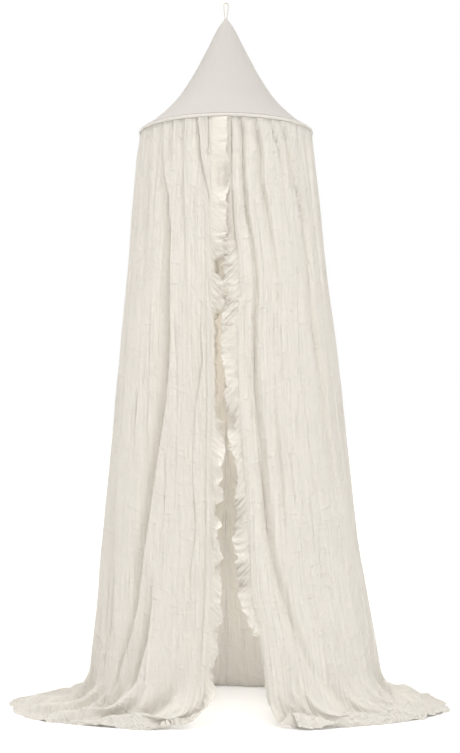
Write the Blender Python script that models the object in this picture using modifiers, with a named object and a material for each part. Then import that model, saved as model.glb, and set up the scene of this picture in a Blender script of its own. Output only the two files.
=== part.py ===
"""Ruffled muslin bed canopy on a hoop, hung from the ceiling by its loop.

Metres, +Z up. The origin is the inside top of the hanging loop, the floor is
HANG_HEIGHT below it, and the canopy opens towards -Y. Heights in the tables are
measured up from the floor.

The skirt is two halves, left and right of the opening. A point of a half is given
by two numbers: around, from 0 at the front edge to 1 at centre back, and fall, from
0 at the hoop to 1 where the cloth starts to bend, 2 where it lies on the floor and 3
at the hem.
"""
import math

import bmesh
import bpy
import numpy as np

# ---------------------------------------------------------------- driving sizes
HANG_HEIGHT = 2.424        # inside top of the loop above the floor
HOOP_HEIGHT = 1.975        # centre line of the hoop above the floor
HOOP_RADIUS = 0.294        # centre line of the hoop rod
ROD_RADIUS = 0.0040
ROD_IN_CASING = 0.96       # of that radius, so that the rod's corners clear the casing
CLOTH = 0.0016             # thickness of every sheet
SEAM = 0.0003              # gap between two pieces that are sewn together
TURN_STEPS = 40            # facets round the hoop, its casing and the cone

CASING_RADIUS = ROD_RADIUS + SEAM + CLOTH / 2
CASING_OUTSIDE = CASING_RADIUS + CLOTH / 2
SKIRT_TOP = HOOP_HEIGHT - CASING_OUTSIDE - SEAM
KNEE_HEIGHT = 0.140        # the wall starts to bend towards the floor here
LANDING_SHARE = 0.62       # of the train's reach: the cloth lies down before here
FLOOR_GAP = 0.0002         # underside of the lying cloth above the floor

GATHERS = 18               # small pleats under the casing, on each half
AROUND_PER_GATHER = 3      # columns of faces in one pleat
PLEAT_SHARPNESS = 0.8      # below 1 the valleys between two pleats are narrower
WALL_ROWS = (1.945, 1.905, 1.830, 1.720, 1.590, 1.440, 1.280, 1.110,
             0.940, 0.770, 0.610, 0.460, 0.330, 0.225)   # heights of rows of faces
BEND_ROWS = 5
TRAIN_ROWS = 5

# Half widths of the wall, seen from above, at each height.
WALL = [  # height, left, right, front, back
    (1.969, 0.297, 0.297, 0.297, 0.297),
    (1.820, 0.313, 0.313, 0.299, 0.297),
    (1.540, 0.341, 0.344, 0.302, 0.298),
    (1.200, 0.377, 0.384, 0.304, 0.300),
    (0.840, 0.408, 0.424, 0.306, 0.301),
    (0.500, 0.441, 0.468, 0.306, 0.302),
    (0.300, 0.458, 0.505, 0.304, 0.302),
    (0.140, 0.472, 0.530, 0.302, 0.300),
    (0.000, 0.478, 0.545, 0.300, 0.296),
]
# Sideways places of the two front edges.
FRONT_EDGE = [  # height, left, right
    (1.969, -0.046, 0.017),
    (1.577, -0.047, 0.029),
    (1.240, -0.044, 0.037),
    (1.054, -0.042, 0.042),
    (0.894, -0.044, 0.051),
    (0.734, -0.043, 0.066),
    (0.540, -0.044, 0.077),
    (0.410, -0.046, 0.087),
    (0.290, -0.052, 0.112),
    (0.140, -0.064, 0.132),
    (0.000, -0.072, 0.142),
]
# Where the hem lies on the floor.
LEFT_HEM = [  # around, x, y
    (0.00, -0.230, -0.345),
    (0.12, -0.385, -0.308),
    (0.25, -0.530, -0.250),
    (0.36, -0.645, -0.197),
    (0.45, -0.712, -0.085),
    (0.53, -0.750, 0.020),
    (0.61, -0.752, 0.105),
    (0.69, -0.690, 0.175),
    (0.77, -0.585, 0.290),
    (0.88, -0.330, 0.430),
    (1.00, 0.000, 0.490),
]
RIGHT_HEM = [  # around, x, y
    (0.00, 0.244, -0.350),
    (0.12, 0.435, -0.293),
    (0.25, 0.600, -0.222),
    (0.37, 0.712, -0.140),
    (0.46, 0.759, -0.045),
    (0.54, 0.764, 0.060),
    (0.62, 0.730, 0.145),
    (0.70, 0.650, 0.250),
    (0.80, 0.480, 0.365),
    (0.90, 0.250, 0.455),
    (1.00, 0.000, 0.490),
]
# Long folds. Each is a valley that wanders round the skirt as it falls: its place
# and its depth at fall 0, 0.5, 1 and 3, and its half width as a share of the half.
LEFT_FOLDS = [  # place top, mid, knee, hem;  depth top, mid, knee, hem;  width
    (0.056, 0.034, 0.030, 0.060, 0.004, 0.006, 0.005, 0.002, 0.022),
    (0.222, 0.136, 0.110, 0.190, 0.008, 0.019, 0.008, 0.004, 0.030),
    (0.167, 0.165, 0.155, 0.330, 0.002, 0.004, 0.030, 0.016, 0.028),
    (0.278, 0.178, 0.212, 0.440, 0.003, 0.018, 0.032, 0.013, 0.030),
    (0.389, 0.340, 0.330, 0.520, 0.004, 0.010, 0.016, 0.009, 0.040),
    (0.500, 0.470, 0.470, 0.600, 0.004, 0.014, 0.020, 0.010, 0.042),
    (0.611, 0.600, 0.600, 0.690, 0.004, 0.015, 0.019, 0.010, 0.042),
    (0.722, 0.720, 0.725, 0.780, 0.004, 0.016, 0.020, 0.010, 0.042),
    (0.833, 0.840, 0.850, 0.875, 0.004, 0.016, 0.020, 0.010, 0.040),
    (0.944, 0.950, 0.950, 0.955, 0.004, 0.010, 0.013, 0.008, 0.030),
]
RIGHT_FOLDS = [  # place top, mid, knee, hem;  depth top, mid, knee, hem;  width
    (0.056, 0.054, 0.085, 0.130, 0.010, 0.024, 0.026, 0.004, 0.021),
    (0.111, 0.128, 0.145, 0.300, 0.005, 0.008, 0.017, 0.015, 0.028),
    (0.167, 0.170, 0.200, 0.240, 0.003, 0.006, 0.004, 0.003, 0.026),
    (0.333, 0.262, 0.285, 0.400, 0.003, 0.011, 0.010, 0.007, 0.036),
    (0.444, 0.405, 0.400, 0.500, 0.004, 0.013, 0.017, 0.010, 0.042),
    (0.556, 0.545, 0.550, 0.620, 0.004, 0.015, 0.020, 0.010, 0.042),
    (0.667, 0.672, 0.680, 0.730, 0.004, 0.015, 0.019, 0.010, 0.042),
    (0.778, 0.790, 0.800, 0.835, 0.004, 0.016, 0.020, 0.010, 0.042),
    (0.889, 0.885, 0.890, 0.905, 0.004, 0.014, 0.018, 0.010, 0.036),
    (0.944, 0.950, 0.950, 0.955, 0.004, 0.010, 0.013, 0.008, 0.030),
]
FOLD_FALLS = (0.0, 0.5, 1.0, 3.0)
GATHER_DEPTH = [  # fall, depth of the small pleats
    (0.00, 0.0040),
    (0.03, 0.0075),
    (0.15, 0.0065),
    (0.40, 0.0030),
    (0.80, 0.0015),
    (3.00, 0.0000),
]
LYING_LIFT = [  # fall, height of a fold's crest where the cloth lies
    (0.0, 0.000),
    (1.0, 0.002),
    (2.0, 0.016),
    (2.6, 0.013),
    (3.0, 0.008),
]

# Ruffles: width, and the turn away from the skirt's own surface (plus is inwards).
# A turn reaches its whole at the second row of faces.
LEFT_RUFFLE = [  # fall, width, turn in degrees
    (0.00, 0.050, -14.0),
    (0.10, 0.052, -20.0),
    (0.30, 0.050, -22.0),
    (0.36, 0.034, -14.0),
    (0.40, 0.022, 10.0),
    (0.44, 0.034, 50.0),
    (0.48, 0.046, 70.0),
    (0.53, 0.046, 66.0),
    (0.57, 0.048, 25.0),
    (0.66, 0.048, 20.0),
    (0.71, 0.040, 45.0),
    (0.77, 0.044, 28.0),
    (0.88, 0.046, 22.0),
    (0.95, 0.046, 5.0),
    (1.20, 0.046, -45.0),
    (1.50, 0.044, -75.0),
    (1.80, 0.042, -60.0),
    (2.00, 0.040, -20.0),
    (2.30, 0.036, -4.0),
    (3.00, 0.032, -4.0),
]
RIGHT_RUFFLE = [  # fall, width, turn in degrees
    (0.00, 0.048, 16.0),
    (0.10, 0.050, 22.0),
    (0.30, 0.054, 20.0),
    (0.36, 0.050, 14.0),
    (0.40, 0.044, 4.0),
    (0.44, 0.050, -8.0),
    (0.50, 0.048, -12.0),
    (0.58, 0.042, -8.0),
    (0.66, 0.040, -8.0),
    (0.74, 0.050, -8.0),
    (0.86, 0.050, 0.0),
    (0.90, 0.046, 20.0),
    (0.95, 0.044, 120.0),
    (1.30, 0.038, 150.0),
]
RUFFLE_SEAM = 0.0008       # from the skirt's cut edge to the ruffle's
RUFFLE_STEP = 0.026        # length of a facet along the ruffle
FLUTE_LENGTH = 0.084       # one flute of the ruffle, along the edge
FLUTE_DEPTH = 0.0115       # how far the free edge swings to each side
FLUTE_WANDER = (0.6, 9.0)  # shifts the flutes: by how much, and how often a metre
FLUTE_SHARE = [  # fall, share of the full swing
    (0.00, 0.15),
    (0.16, 0.50),
    (0.32, 0.60),
    (0.40, 0.35),
    (0.48, 1.00),
]
RUFFLE_SHARES = (0.0, 0.18, 0.42, 1.0)   # rows across the ruffle, seam to free edge
RIGHT_RUFFLE_END = 1.30    # below this fall the right ruffle is folded out of sight

# Radius of the cone top at heights above the hoop.
CONE_PROFILE = [  # height above the hoop, radius
    (0.3925, 0.0062),
    (0.3780, 0.0190),
    (0.2900, 0.0640),
    (0.1870, 0.1200),
    (0.1050, 0.1760),
    (0.0570, 0.2240),
    (0.0240, 0.2640),
    (0.0070, 0.2928),
]
CASING_SLOT = 40.0         # half angle of the casing's open side, in degrees
CASING_FACETS = 7

LOOP_CORD = 0.0022         # radius of the loop's cord
LOOP_WIDTH = 0.0150        # between the centre lines of its two strands, at most
LOOP_FOOT = 0.0054         # the same, where both strands enter the cone
LOOP_TUCK = 0.0100         # how far the strands reach into the cone
LOOP_STRAND_POINTS = 6
LOOP_ARC_POINTS = 9

PROBE = 0.004              # step in around and fall when a direction is measured

LEFT, RIGHT = -1.0, 1.0
FLOOR = -HANG_HEIGHT


# ---------------------------------------------------------------- small tools
def smooth_table(rows, place):
    """Columns of a table at a place (an array), by a cubic through its rows."""
    table = np.array(rows, dtype=float)
    knots, values = table[:, 0], table[:, 1:]
    order = np.argsort(knots)
    knots, values = knots[order], values[order]
    slopes = np.gradient(values, knots, axis=0)
    place = np.clip(np.asarray(place, dtype=float), knots[0], knots[-1])
    cell = np.clip(np.searchsorted(knots, place) - 1, 0, len(knots) - 2)
    span = knots[cell + 1] - knots[cell]
    t = ((place - knots[cell]) / span)[..., None]
    span = span[..., None]
    start, end = values[cell], values[cell + 1]
    result = (
        (2 * t**3 - 3 * t**2 + 1) * start
        + (t**3 - 2 * t**2 + t) * span * slopes[cell]
        + (3 * t**2 - 2 * t**3) * end
        + (t**3 - t**2) * span * slopes[cell + 1]
    )
    return [result[..., column] for column in range(result.shape[-1])]


def straight_table(rows, place):
    """Columns of a table at a place, by straight lines between its rows."""
    table = np.array(rows, dtype=float)
    return [np.interp(place, table[:, 0], table[:, c]) for c in range(1, table.shape[1])]


# ---------------------------------------------------------------- the skirt's form
def wall_point(side, around, height):
    """The mean wall of one half, without folds."""
    left, right, front, back = smooth_table(WALL, height)
    edge_left, edge_right = smooth_table(FRONT_EDGE, height)
    width = left if side == LEFT else right
    edge = -edge_left if side == LEFT else edge_right
    start = np.arcsin(edge / width)
    angle = start + around * (np.pi - start)
    depth = np.where(np.cos(angle) > 0, front, back)
    return np.stack(
        [side * width * np.sin(angle), -depth * np.cos(angle), height], axis=-1
    )


def mean_point(side, around, fall):
    """The mean cloth of one half: wall, bend and train."""
    around, fall = np.broadcast_arrays(
        np.asarray(around, dtype=float), np.asarray(fall, dtype=float)
    )
    height = SKIRT_TOP - np.clip(fall, 0, 1) * (SKIRT_TOP - KNEE_HEIGHT)
    wall = wall_point(side, around, height)
    foot = wall_point(side, around, np.zeros_like(height))
    hem_x, hem_y = smooth_table(LEFT_HEM if side == LEFT else RIGHT_HEM, around)
    hem = np.stack([hem_x, hem_y, np.zeros_like(hem_x)], axis=-1)
    train = hem - foot
    reach = np.linalg.norm(train, axis=-1)
    share = np.minimum(LANDING_SHARE, KNEE_HEIGHT / reach)
    landing = foot + train * share[..., None]
    bend = np.clip(fall - 1, 0, 1)[..., None]
    bent = (1 - bend) ** 2 * wall + 2 * bend * (1 - bend) * foot + bend**2 * landing
    lie = np.clip(fall - 2, 0, 1)[..., None]
    lying = landing + lie * (hem - landing)
    fall = fall[..., None]
    return np.where(fall <= 1, wall, np.where(fall <= 2, bent, lying))


def fold_depth(side, around, fall):
    """How far the cloth dips inwards at its folds and gathers."""
    rows = LEFT_FOLDS if side == LEFT else RIGHT_FOLDS
    total = np.zeros_like(around)
    for *numbers, width in rows:
        place = np.interp(fall, FOLD_FALLS, numbers[:4])
        depth = np.interp(fall, FOLD_FALLS, numbers[4:])
        total = total + depth * np.exp(-(((around - place) / width) ** 2))
    (gather,) = straight_table(GATHER_DEPTH, fall)
    pleat = 1 - np.abs(np.sin(np.pi * GATHERS * around)) ** PLEAT_SHARPNESS
    pleat = pleat * np.clip(around * GATHERS, 0, 1)
    return total + gather * pleat


def outward(side, around, fall):
    """Unit normal of the mean cloth, on the face that shows from outside."""
    across = mean_point(side, np.clip(around + PROBE, 0, 1), fall) - mean_point(
        side, np.clip(around - PROBE, 0, 1), fall
    )
    down = mean_point(side, around, np.clip(fall + PROBE, 0, 3)) - mean_point(
        side, around, np.clip(fall - PROBE, 0, 3)
    )
    normal = side * np.cross(down, across)
    normal /= np.linalg.norm(normal, axis=-1, keepdims=True)
    seam = around > 1 - PROBE
    normal[..., 0] = np.where(seam, 0.0, normal[..., 0])
    return normal / np.linalg.norm(normal, axis=-1, keepdims=True)


def skirt_point(side, around, fall):
    """A point on the middle of the skirt's cloth, folds and all, origin at the loop."""
    around, fall = np.broadcast_arrays(
        np.asarray(around, dtype=float), np.asarray(fall, dtype=float)
    )
    (lift,) = straight_table(LYING_LIFT, fall)
    stand = lift - fold_depth(side, around, fall)
    point = mean_point(side, around, fall) + stand[..., None] * outward(side, around, fall)
    point[..., 2] = np.maximum(point[..., 2], CLOTH / 2 + FLOOR_GAP) + FLOOR
    point[..., 0] = side * np.maximum(side * point[..., 0], SEAM)
    return point


# ---------------------------------------------------------------- making objects
collection = bpy.data.collections.new("bed_canopy")


def start_scene():
    for old in list(bpy.data.objects):
        bpy.data.objects.remove(old, do_unlink=True)
    bpy.context.scene.collection.children.link(collection)


def plain_material(name, colour, roughness, metallic=0.0):
    material = bpy.data.materials.new(name)
    material.use_nodes = True
    shader = material.node_tree.nodes["Principled BSDF"]
    shader.inputs["Base Color"].default_value = (*colour, 1.0)
    shader.inputs["Roughness"].default_value = roughness
    shader.inputs["Metallic"].default_value = metallic
    return material


def add_object(name, data, material):
    piece = bpy.data.objects.new(name, data)
    data.materials.append(material)
    collection.objects.link(piece)
    return piece


def add_thickness(piece):
    shell = piece.modifiers.new("cloth", "SOLIDIFY")
    shell.thickness = CLOTH
    shell.offset = 0.0


def sheet_object(name, columns, rows, place, material):
    """A grid of columns x rows faces, each corner put where place says.

    place takes two arrays, the column and row numbers of the corners."""
    mesh = bpy.data.meshes.new(name)
    bm = bmesh.new()
    bmesh.ops.create_grid(bm, x_segments=columns, y_segments=rows, size=0.5)
    corners = np.array([corner.co[:] for corner in bm.verts])
    column = np.rint((corners[:, 0] + 0.5) * columns).astype(int)
    row = np.rint((corners[:, 1] + 0.5) * rows).astype(int)
    for corner, where in zip(bm.verts, place(column, row)):
        corner.co = where
    bmesh.ops.recalc_face_normals(bm, faces=bm.faces)
    bm.to_mesh(mesh)
    bm.free()
    mesh.shade_smooth()
    piece = add_object(name, mesh, material)
    add_thickness(piece)
    return piece


def turned_sheet(name, profile, material):
    """A sheet turned round the axis. The profile runs down its outer side."""
    mesh = bpy.data.meshes.new(name)
    bm = bmesh.new()
    corners = [bm.verts.new((radius, 0.0, z)) for radius, z in profile]
    for upper, lower in zip(corners, corners[1:]):
        bm.edges.new((upper, lower))
    bm.to_mesh(mesh)
    bm.free()
    piece = add_object(name, mesh, material)
    turn = piece.modifiers.new("turn", "SCREW")
    turn.steps = TURN_STEPS
    turn.render_steps = TURN_STEPS
    turn.use_merge_vertices = True
    turn.merge_threshold = SEAM / 3
    add_thickness(piece)
    return piece


# ---------------------------------------------------------------- the pieces
def fall_rows():
    """Fall of each row of the skirt's faces: closer together near the hoop."""
    walls = [(SKIRT_TOP - height) / (SKIRT_TOP - KNEE_HEIGHT) for height in WALL_ROWS]
    bends = [1 + row / BEND_ROWS for row in range(BEND_ROWS)]
    trains = [2 + row / TRAIN_ROWS for row in range(TRAIN_ROWS + 1)]
    return np.array([0.0] + walls + bends + trains)


def skirt_half(name, side, material):
    falls = fall_rows()
    columns = GATHERS * AROUND_PER_GATHER

    def place(column, row):
        return skirt_point(side, column / columns, falls[row])

    return sheet_object(name, columns, len(falls) - 1, place, material)


def edge_stations(side, last_fall):
    """Places along a front edge: every row of the skirt, and steps between them."""
    falls = fall_rows()
    falls = falls[falls < last_fall + PROBE]
    corners = skirt_point(side, 0.0, falls)
    stations, fall_at = [], []
    for index in range(len(falls) - 1):
        length = np.linalg.norm(corners[index + 1] - corners[index])
        steps = max(1, round(length / RUFFLE_STEP))
        for step in range(steps):
            share = step / steps
            stations.append((1 - share) * corners[index] + share * corners[index + 1])
            fall_at.append((1 - share) * falls[index] + share * falls[index + 1])
    stations.append(corners[-1])
    fall_at.append(falls[-1])
    return np.array(stations), np.array(fall_at)


def ruffle(name, side, table, last_fall, material):
    """A fluted strip along one front edge, from the casing down."""
    seam, falls = edge_stations(side, last_fall)
    along = np.gradient(seam, axis=0)
    along /= np.linalg.norm(along, axis=1, keepdims=True)
    inner = seam - skirt_point(side, 3 * PROBE, falls)
    inner -= np.sum(inner * along, axis=1, keepdims=True) * along
    inner /= np.linalg.norm(inner, axis=1, keepdims=True)
    inwards = side * np.cross(along, inner)
    width, turn = straight_table(table, falls)
    run = np.concatenate([[0], np.cumsum(np.linalg.norm(np.diff(seam, axis=0), axis=1))])
    shift = FLUTE_WANDER[0] * np.sin(run * FLUTE_WANDER[1])
    (share_of_swing,) = straight_table(FLUTE_SHARE, falls)
    swing = np.sin(2 * np.pi * run / FLUTE_LENGTH + shift) * share_of_swing * FLUTE_DEPTH

    lines = [seam + RUFFLE_SEAM * inner]
    for start, end in zip(RUFFLE_SHARES, RUFFLE_SHARES[1:]):
        middle = (start + end) / 2
        angle = np.radians(turn) * min(1.0, middle / RUFFLE_SHARES[2])
        heading = np.cos(angle)[:, None] * inner + np.sin(angle)[:, None] * inwards
        lines.append(lines[-1] + heading * (width * (end - start))[:, None])
    final = np.radians(turn)
    swing_to = np.cos(final)[:, None] * inwards - np.sin(final)[:, None] * inner
    for share, line in zip(RUFFLE_SHARES, lines):
        line += swing_to * (swing * share)[:, None]
        line[:, 2] = np.maximum(line[:, 2], FLOOR + CLOTH / 2 + FLOOR_GAP)
    grid = np.array(lines)

    def place(column, row):
        return grid[row, column]

    return sheet_object(name, len(seam) - 1, len(RUFFLE_SHARES) - 1, place, material)


def cone_top(material):
    profile = [
        (radius, FLOOR + HOOP_HEIGHT + height) for height, radius in CONE_PROFILE
    ]
    return turned_sheet("cone_top", profile, material)


def hoop_casing(material):
    """A sleeve round the rod, open along its inner side."""
    first = 180 - CASING_SLOT
    angles = np.radians(np.linspace(first, -first, CASING_FACETS + 1))
    profile = [
        (
            HOOP_RADIUS + CASING_RADIUS * math.cos(angle),
            FLOOR + HOOP_HEIGHT + CASING_RADIUS * math.sin(angle),
        )
        for angle in angles
    ]
    return turned_sheet("hoop_casing", profile, material)


def hoop(material):
    bpy.ops.mesh.primitive_torus_add(
        major_segments=TURN_STEPS,
        minor_segments=CASING_FACETS,
        major_radius=HOOP_RADIUS,
        minor_radius=ROD_RADIUS * ROD_IN_CASING,
        location=(0.0, 0.0, FLOOR + HOOP_HEIGHT),
    )
    ring = bpy.context.object
    ring.name = "hoop"
    ring.data.materials.append(material)
    for holder in list(ring.users_collection):
        holder.objects.unlink(ring)
    collection.objects.link(ring)
    ring.data.shade_smooth()
    return ring


def hanging_loop(material):
    """A cord loop: a half circle over two strands that close in to the cone's tip."""
    radius = LOOP_WIDTH / 2
    foot = FLOOR + HOOP_HEIGHT + CONE_PROFILE[0][0] - LOOP_TUCK
    shoulder = LOOP_CORD - radius
    strand = []
    for point in range(LOOP_STRAND_POINTS):
        share = point / LOOP_STRAND_POINTS
        ease = share**2 * (3 - 2 * share)
        half = LOOP_FOOT / 2 + (radius - LOOP_FOOT / 2) * ease
        strand.append((half, foot + share * (shoulder - foot)))
    arc = [
        (radius * math.cos(math.pi * step / (LOOP_ARC_POINTS - 1)),
         shoulder + radius * math.sin(math.pi * step / (LOOP_ARC_POINTS - 1)))
        for step in range(LOOP_ARC_POINTS)
    ]
    path = strand + arc + [(-x, z) for x, z in reversed(strand)]
    curve = bpy.data.curves.new("hanging_loop", "CURVE")
    curve.dimensions = "3D"
    curve.bevel_depth = LOOP_CORD
    curve.bevel_resolution = 2
    curve.use_fill_caps = True
    spline = curve.splines.new("POLY")
    spline.points.add(len(path) - 1)
    for point, (x, z) in zip(spline.points, path):
        point.co = (x, 0.0, z, 1.0)
    return add_object("hanging_loop", curve, material)


def build():
    start_scene()
    muslin = plain_material("ivory_muslin", (0.80, 0.76, 0.68), 0.95)
    plain_cotton = plain_material("tight_plain_cotton", (0.72, 0.68, 0.62), 0.90)
    rod = plain_material("white_plastic_rod", (0.82, 0.81, 0.78), 0.45)
    cord = plain_material("ivory_cord", (0.78, 0.74, 0.66), 0.90)
    hanging_loop(cord)
    cone_top(plain_cotton)
    hoop(rod)
    hoop_casing(plain_cotton)
    skirt_half("skirt_left", LEFT, muslin)
    skirt_half("skirt_right", RIGHT, muslin)
    ruffle("ruffle_left", LEFT, LEFT_RUFFLE, 3.0, muslin)
    ruffle("ruffle_right", RIGHT, RIGHT_RUFFLE, RIGHT_RUFFLE_END, muslin)


build()
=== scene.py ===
"""Ruffled muslin bed canopy on a hoop, hung from the ceiling by its loop.

Metres, +Z up. The origin is the inside top of the hanging loop. The script goes
through the canopy in the order in which it is sewn together, from the loop down.
"""
import functools
import math

import bpy
import numpy as np
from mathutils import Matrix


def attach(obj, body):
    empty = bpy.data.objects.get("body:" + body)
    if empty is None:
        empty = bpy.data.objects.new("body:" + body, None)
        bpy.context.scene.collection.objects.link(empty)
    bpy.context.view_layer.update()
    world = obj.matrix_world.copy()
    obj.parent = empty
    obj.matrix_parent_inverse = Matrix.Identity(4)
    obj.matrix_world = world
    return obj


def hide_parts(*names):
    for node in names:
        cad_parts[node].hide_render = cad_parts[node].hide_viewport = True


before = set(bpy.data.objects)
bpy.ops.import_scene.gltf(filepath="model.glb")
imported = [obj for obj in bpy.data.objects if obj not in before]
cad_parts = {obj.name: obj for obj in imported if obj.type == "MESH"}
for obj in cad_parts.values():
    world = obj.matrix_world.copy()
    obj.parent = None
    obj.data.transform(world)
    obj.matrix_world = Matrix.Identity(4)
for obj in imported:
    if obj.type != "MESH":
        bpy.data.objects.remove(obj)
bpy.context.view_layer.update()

# ---------------- room and light
# A pale photo studio with a white floor that the cloth trails on. Five wide lamps
# light it from far off and a small one stands high in front. Four more hang inside
# the canopy to show its back and its floor, and the floor itself glows a little.
scene = bpy.context.scene
scene.view_settings.view_transform = "Standard"

FLOOR = -2.424  # the floor, below the inside top of the loop
EYE_HEIGHT = 1.0224  # of the camera, above the floor
EYE_DISTANCE = 4.47  # of the camera, in front of the canopy's axis
EYE_ASIDE = 0.0138  # the canopy hangs a little left of the middle
FRAME_HEIGHT = 753  # pixels
FOCAL_PIXELS = 1295  # focal length, in pixels of that frame
HORIZON_DROP = 33.5  # pixels from the middle of the frame to eye level
WHITE = (1.0, 1.0, 1.0, 1.0)
SKY_COLOUR = (1.0, 0.88, 0.72, 1.0)
SKY_POWER = 0.14
FLOOR_COLOUR = (0.95, 0.95, 0.95, 1.0)
FLOOR_ROUGHNESS = 0.9
FLOOR_GLOW = 0.11
FLOOR_REACH = 60.0
COOL_LIGHT = (0.975, 0.988, 1.0)
FAR_LAMPS = [  # name, degrees to the right, up and across, power, colour
    ("lamp_key", 38, 30, 16, 0.72, COOL_LIGHT),
    ("lamp_right", 80, 55, 20, 0.46, COOL_LIGHT),
    ("lamp_left", -92, 25, 26, 1.06, COOL_LIGHT),
    ("lamp_back", 180, 35, 40, 0.45, (1.0, 0.97, 0.92)),
    ("lamp_ceiling", 0, 80, 50, 2.05, (1.0, 0.99, 0.98)),
]
ROUND_LAMPS_INSIDE = [  # name, place above the floor, size, power, colour
    ("lamp_inside_high", (0.0, 0.02, 1.40), 0.12, 2.00, (1.0, 0.95, 0.88)),
    ("lamp_inside_middle", (0.0, -0.02, 1.02), 0.12, 0.95, (1.0, 0.91, 0.81)),
    ("lamp_inside_low", (0.03, -0.05, 0.32), 0.10, 1.30, (1.0, 0.960, 0.925)),
]


def in_scene(name, data):
    made = bpy.data.objects.new(name, data)
    scene.collection.objects.link(made)
    return made


camera_data = bpy.data.cameras.new("camera")
camera_data.sensor_width = 36.0
camera_data.lens = FOCAL_PIXELS / FRAME_HEIGHT * camera_data.sensor_width
camera_data.shift_y = HORIZON_DROP / FRAME_HEIGHT
camera_data.clip_end = 100.0
camera = in_scene("camera", camera_data)
camera.location = (EYE_ASIDE, -EYE_DISTANCE, FLOOR + EYE_HEIGHT)
camera.rotation_euler = (math.radians(90.0), 0.0, 0.0)
scene.camera = camera


def wire(tree, node, inputs):
    """Wires each of these inputs to a socket, or sets it to a value."""
    for label, value in inputs.items():
        if isinstance(value, bpy.types.NodeSocket):
            tree.links.new(value, node.inputs[label])
        else:
            node.inputs[label].default_value = value


def add_node(tree, kind, inputs=None, **settings):
    node = tree.nodes.new(kind)
    for setting, value in settings.items():
        setattr(node, setting, value)
    wire(tree, node, inputs or {})
    return node


world = bpy.data.worlds.new("studio")
world.use_nodes = True
scene.world = world
sky = world.node_tree
sky_light = sky.nodes["Background"]
wire(sky, sky_light, {"Color": SKY_COLOUR, "Strength": SKY_POWER})
backdrop = add_node(sky, "ShaderNodeBackground", {"Color": WHITE, "Strength": 1.0})
sky_mix = add_node(sky, "ShaderNodeMixShader", {
    "Fac": add_node(sky, "ShaderNodeLightPath").outputs["Is Camera Ray"],
    1: sky_light.outputs["Background"], 2: backdrop.outputs["Background"]})
wire(sky, sky.nodes["World Output"], {"Surface": sky_mix.outputs["Shader"]})


def add_lamp(name, kind, power, colour=WHITE[:3], place=(0.0, 0.0, 0.0),
             turn=(0.0, 0.0, 0.0), **settings):
    """A lamp at a place above the floor, turned by degrees. Only its light shows."""
    lamp_data = bpy.data.lights.new(name, kind)
    lamp_data.energy = power
    lamp_data.color = colour
    for setting, value in settings.items():
        setattr(lamp_data, setting, value)
    lamp = in_scene(name, lamp_data)
    lamp.location = (place[0], place[1], FLOOR + place[2])
    lamp.rotation_euler = [math.radians(degrees) for degrees in turn]
    lamp.visible_camera = False


for name, azimuth, elevation, spread, power, colour in FAR_LAMPS:
    add_lamp(name, "SUN", power, colour, turn=(90.0 - elevation, 0.0, azimuth),
             angle=math.radians(spread))
add_lamp("lamp_front", "AREA", 18.0, place=(-0.10, -2.6, 2.75), turn=(67.0, 0.0, -2.0),
         size=0.9)
for name, place, size, power, colour in ROUND_LAMPS_INSIDE:
    add_lamp(name, "POINT", power, colour, place, shadow_soft_size=size)
add_lamp("lamp_inside_down", "SPOT", 17.0, (0.86, 0.94, 1.0), (0.0, 0.0, 1.72),
         spot_size=math.radians(52.0), spot_blend=0.5, shadow_soft_size=0.10)

floor_mesh = bpy.data.meshes.new("floor")
floor_mesh.from_pydata(
    [(x * FLOOR_REACH, y * FLOOR_REACH, FLOOR)
     for x, y in ((-1, -1), (1, -1), (1, 1), (-1, 1))], [], [(0, 1, 2, 3)])


def new_material(name, inputs):
    """A material, its tree and its shader, whose own inputs are set."""
    material = bpy.data.materials.new(name)
    material.use_nodes = True
    shader = material.node_tree.nodes["Principled BSDF"]
    wire(material.node_tree, shader, inputs)
    return material, material.node_tree, shader


floor_mesh.materials.append(new_material("white_floor", {
    "Base Color": FLOOR_COLOUR, "Roughness": FLOOR_ROUGHNESS, "Emission Color": WHITE,
    "Emission Strength": FLOOR_GLOW})[0])
floor = in_scene("floor", floor_mesh)

# ---------------- hanging loop
# A loop of round ivory cotton cord, two strands twisted together. Its ends go down
# into the tip of the cone, where they are sewn in.
CORD_RADIUS = 0.0022
LOOP_WIDTH = 0.0150  # between the middles of the two sides
LOOP_FOOT = 0.0054  # the same, where the cord enters the cone
LOOP_DROP = 0.0666  # from the origin to the cord's ends in the cone
CORD_TWISTS = 16.0  # turns of the strands over the whole loop
CORD_LOBE = 0.22  # how far the strands stand out, as a share
CORD_RINGS = 260  # rings of points along the loop
CORD_SIDES = 16
LOOP_SIDE_POINTS, LOOP_ARC_POINTS = 12, 20
SHEEN_ROUGHNESS = 0.6
CLOTH_SPECULAR = 0.15
SLUB_SCALE = 0.45  # thick places, in cells for each thread
SLUB_STRETCH = 0.02  # how much longer they are along the thread
CROSSING_HEIGHT = 0.25  # of the threads' waves beside their thick places
SLUB_TINT, CLOUD_TINT = 0.7, 0.3  # shares of the colour's change
CLOUD_SCALE = 7.0  # broad changes of colour, for each metre


def calc(tree, operation, *values):
    """Arithmetic on sockets and numbers."""
    return add_node(tree, "ShaderNodeMath", dict(enumerate(values)),
                    operation=operation).outputs[0]


def hands_for(tree):
    """What adds to one tree: a node, and arithmetic."""
    return functools.partial(add_node, tree), functools.partial(calc, tree)


def new_group(name, kind, inputs, outputs):
    """A node group with named inputs and outputs, and its two end nodes."""
    group = bpy.data.node_groups.new(name, kind)
    for way, sockets in (("INPUT", inputs), ("OUTPUT", outputs)):
        for label, sort, *value in sockets:
            socket = group.interface.new_socket(
                label, in_out=way, socket_type="NodeSocket" + sort)
            if value:
                socket.default_value = value[0]
    return group, group.nodes.new("NodeGroupInput"), group.nodes.new("NodeGroupOutput")


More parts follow.
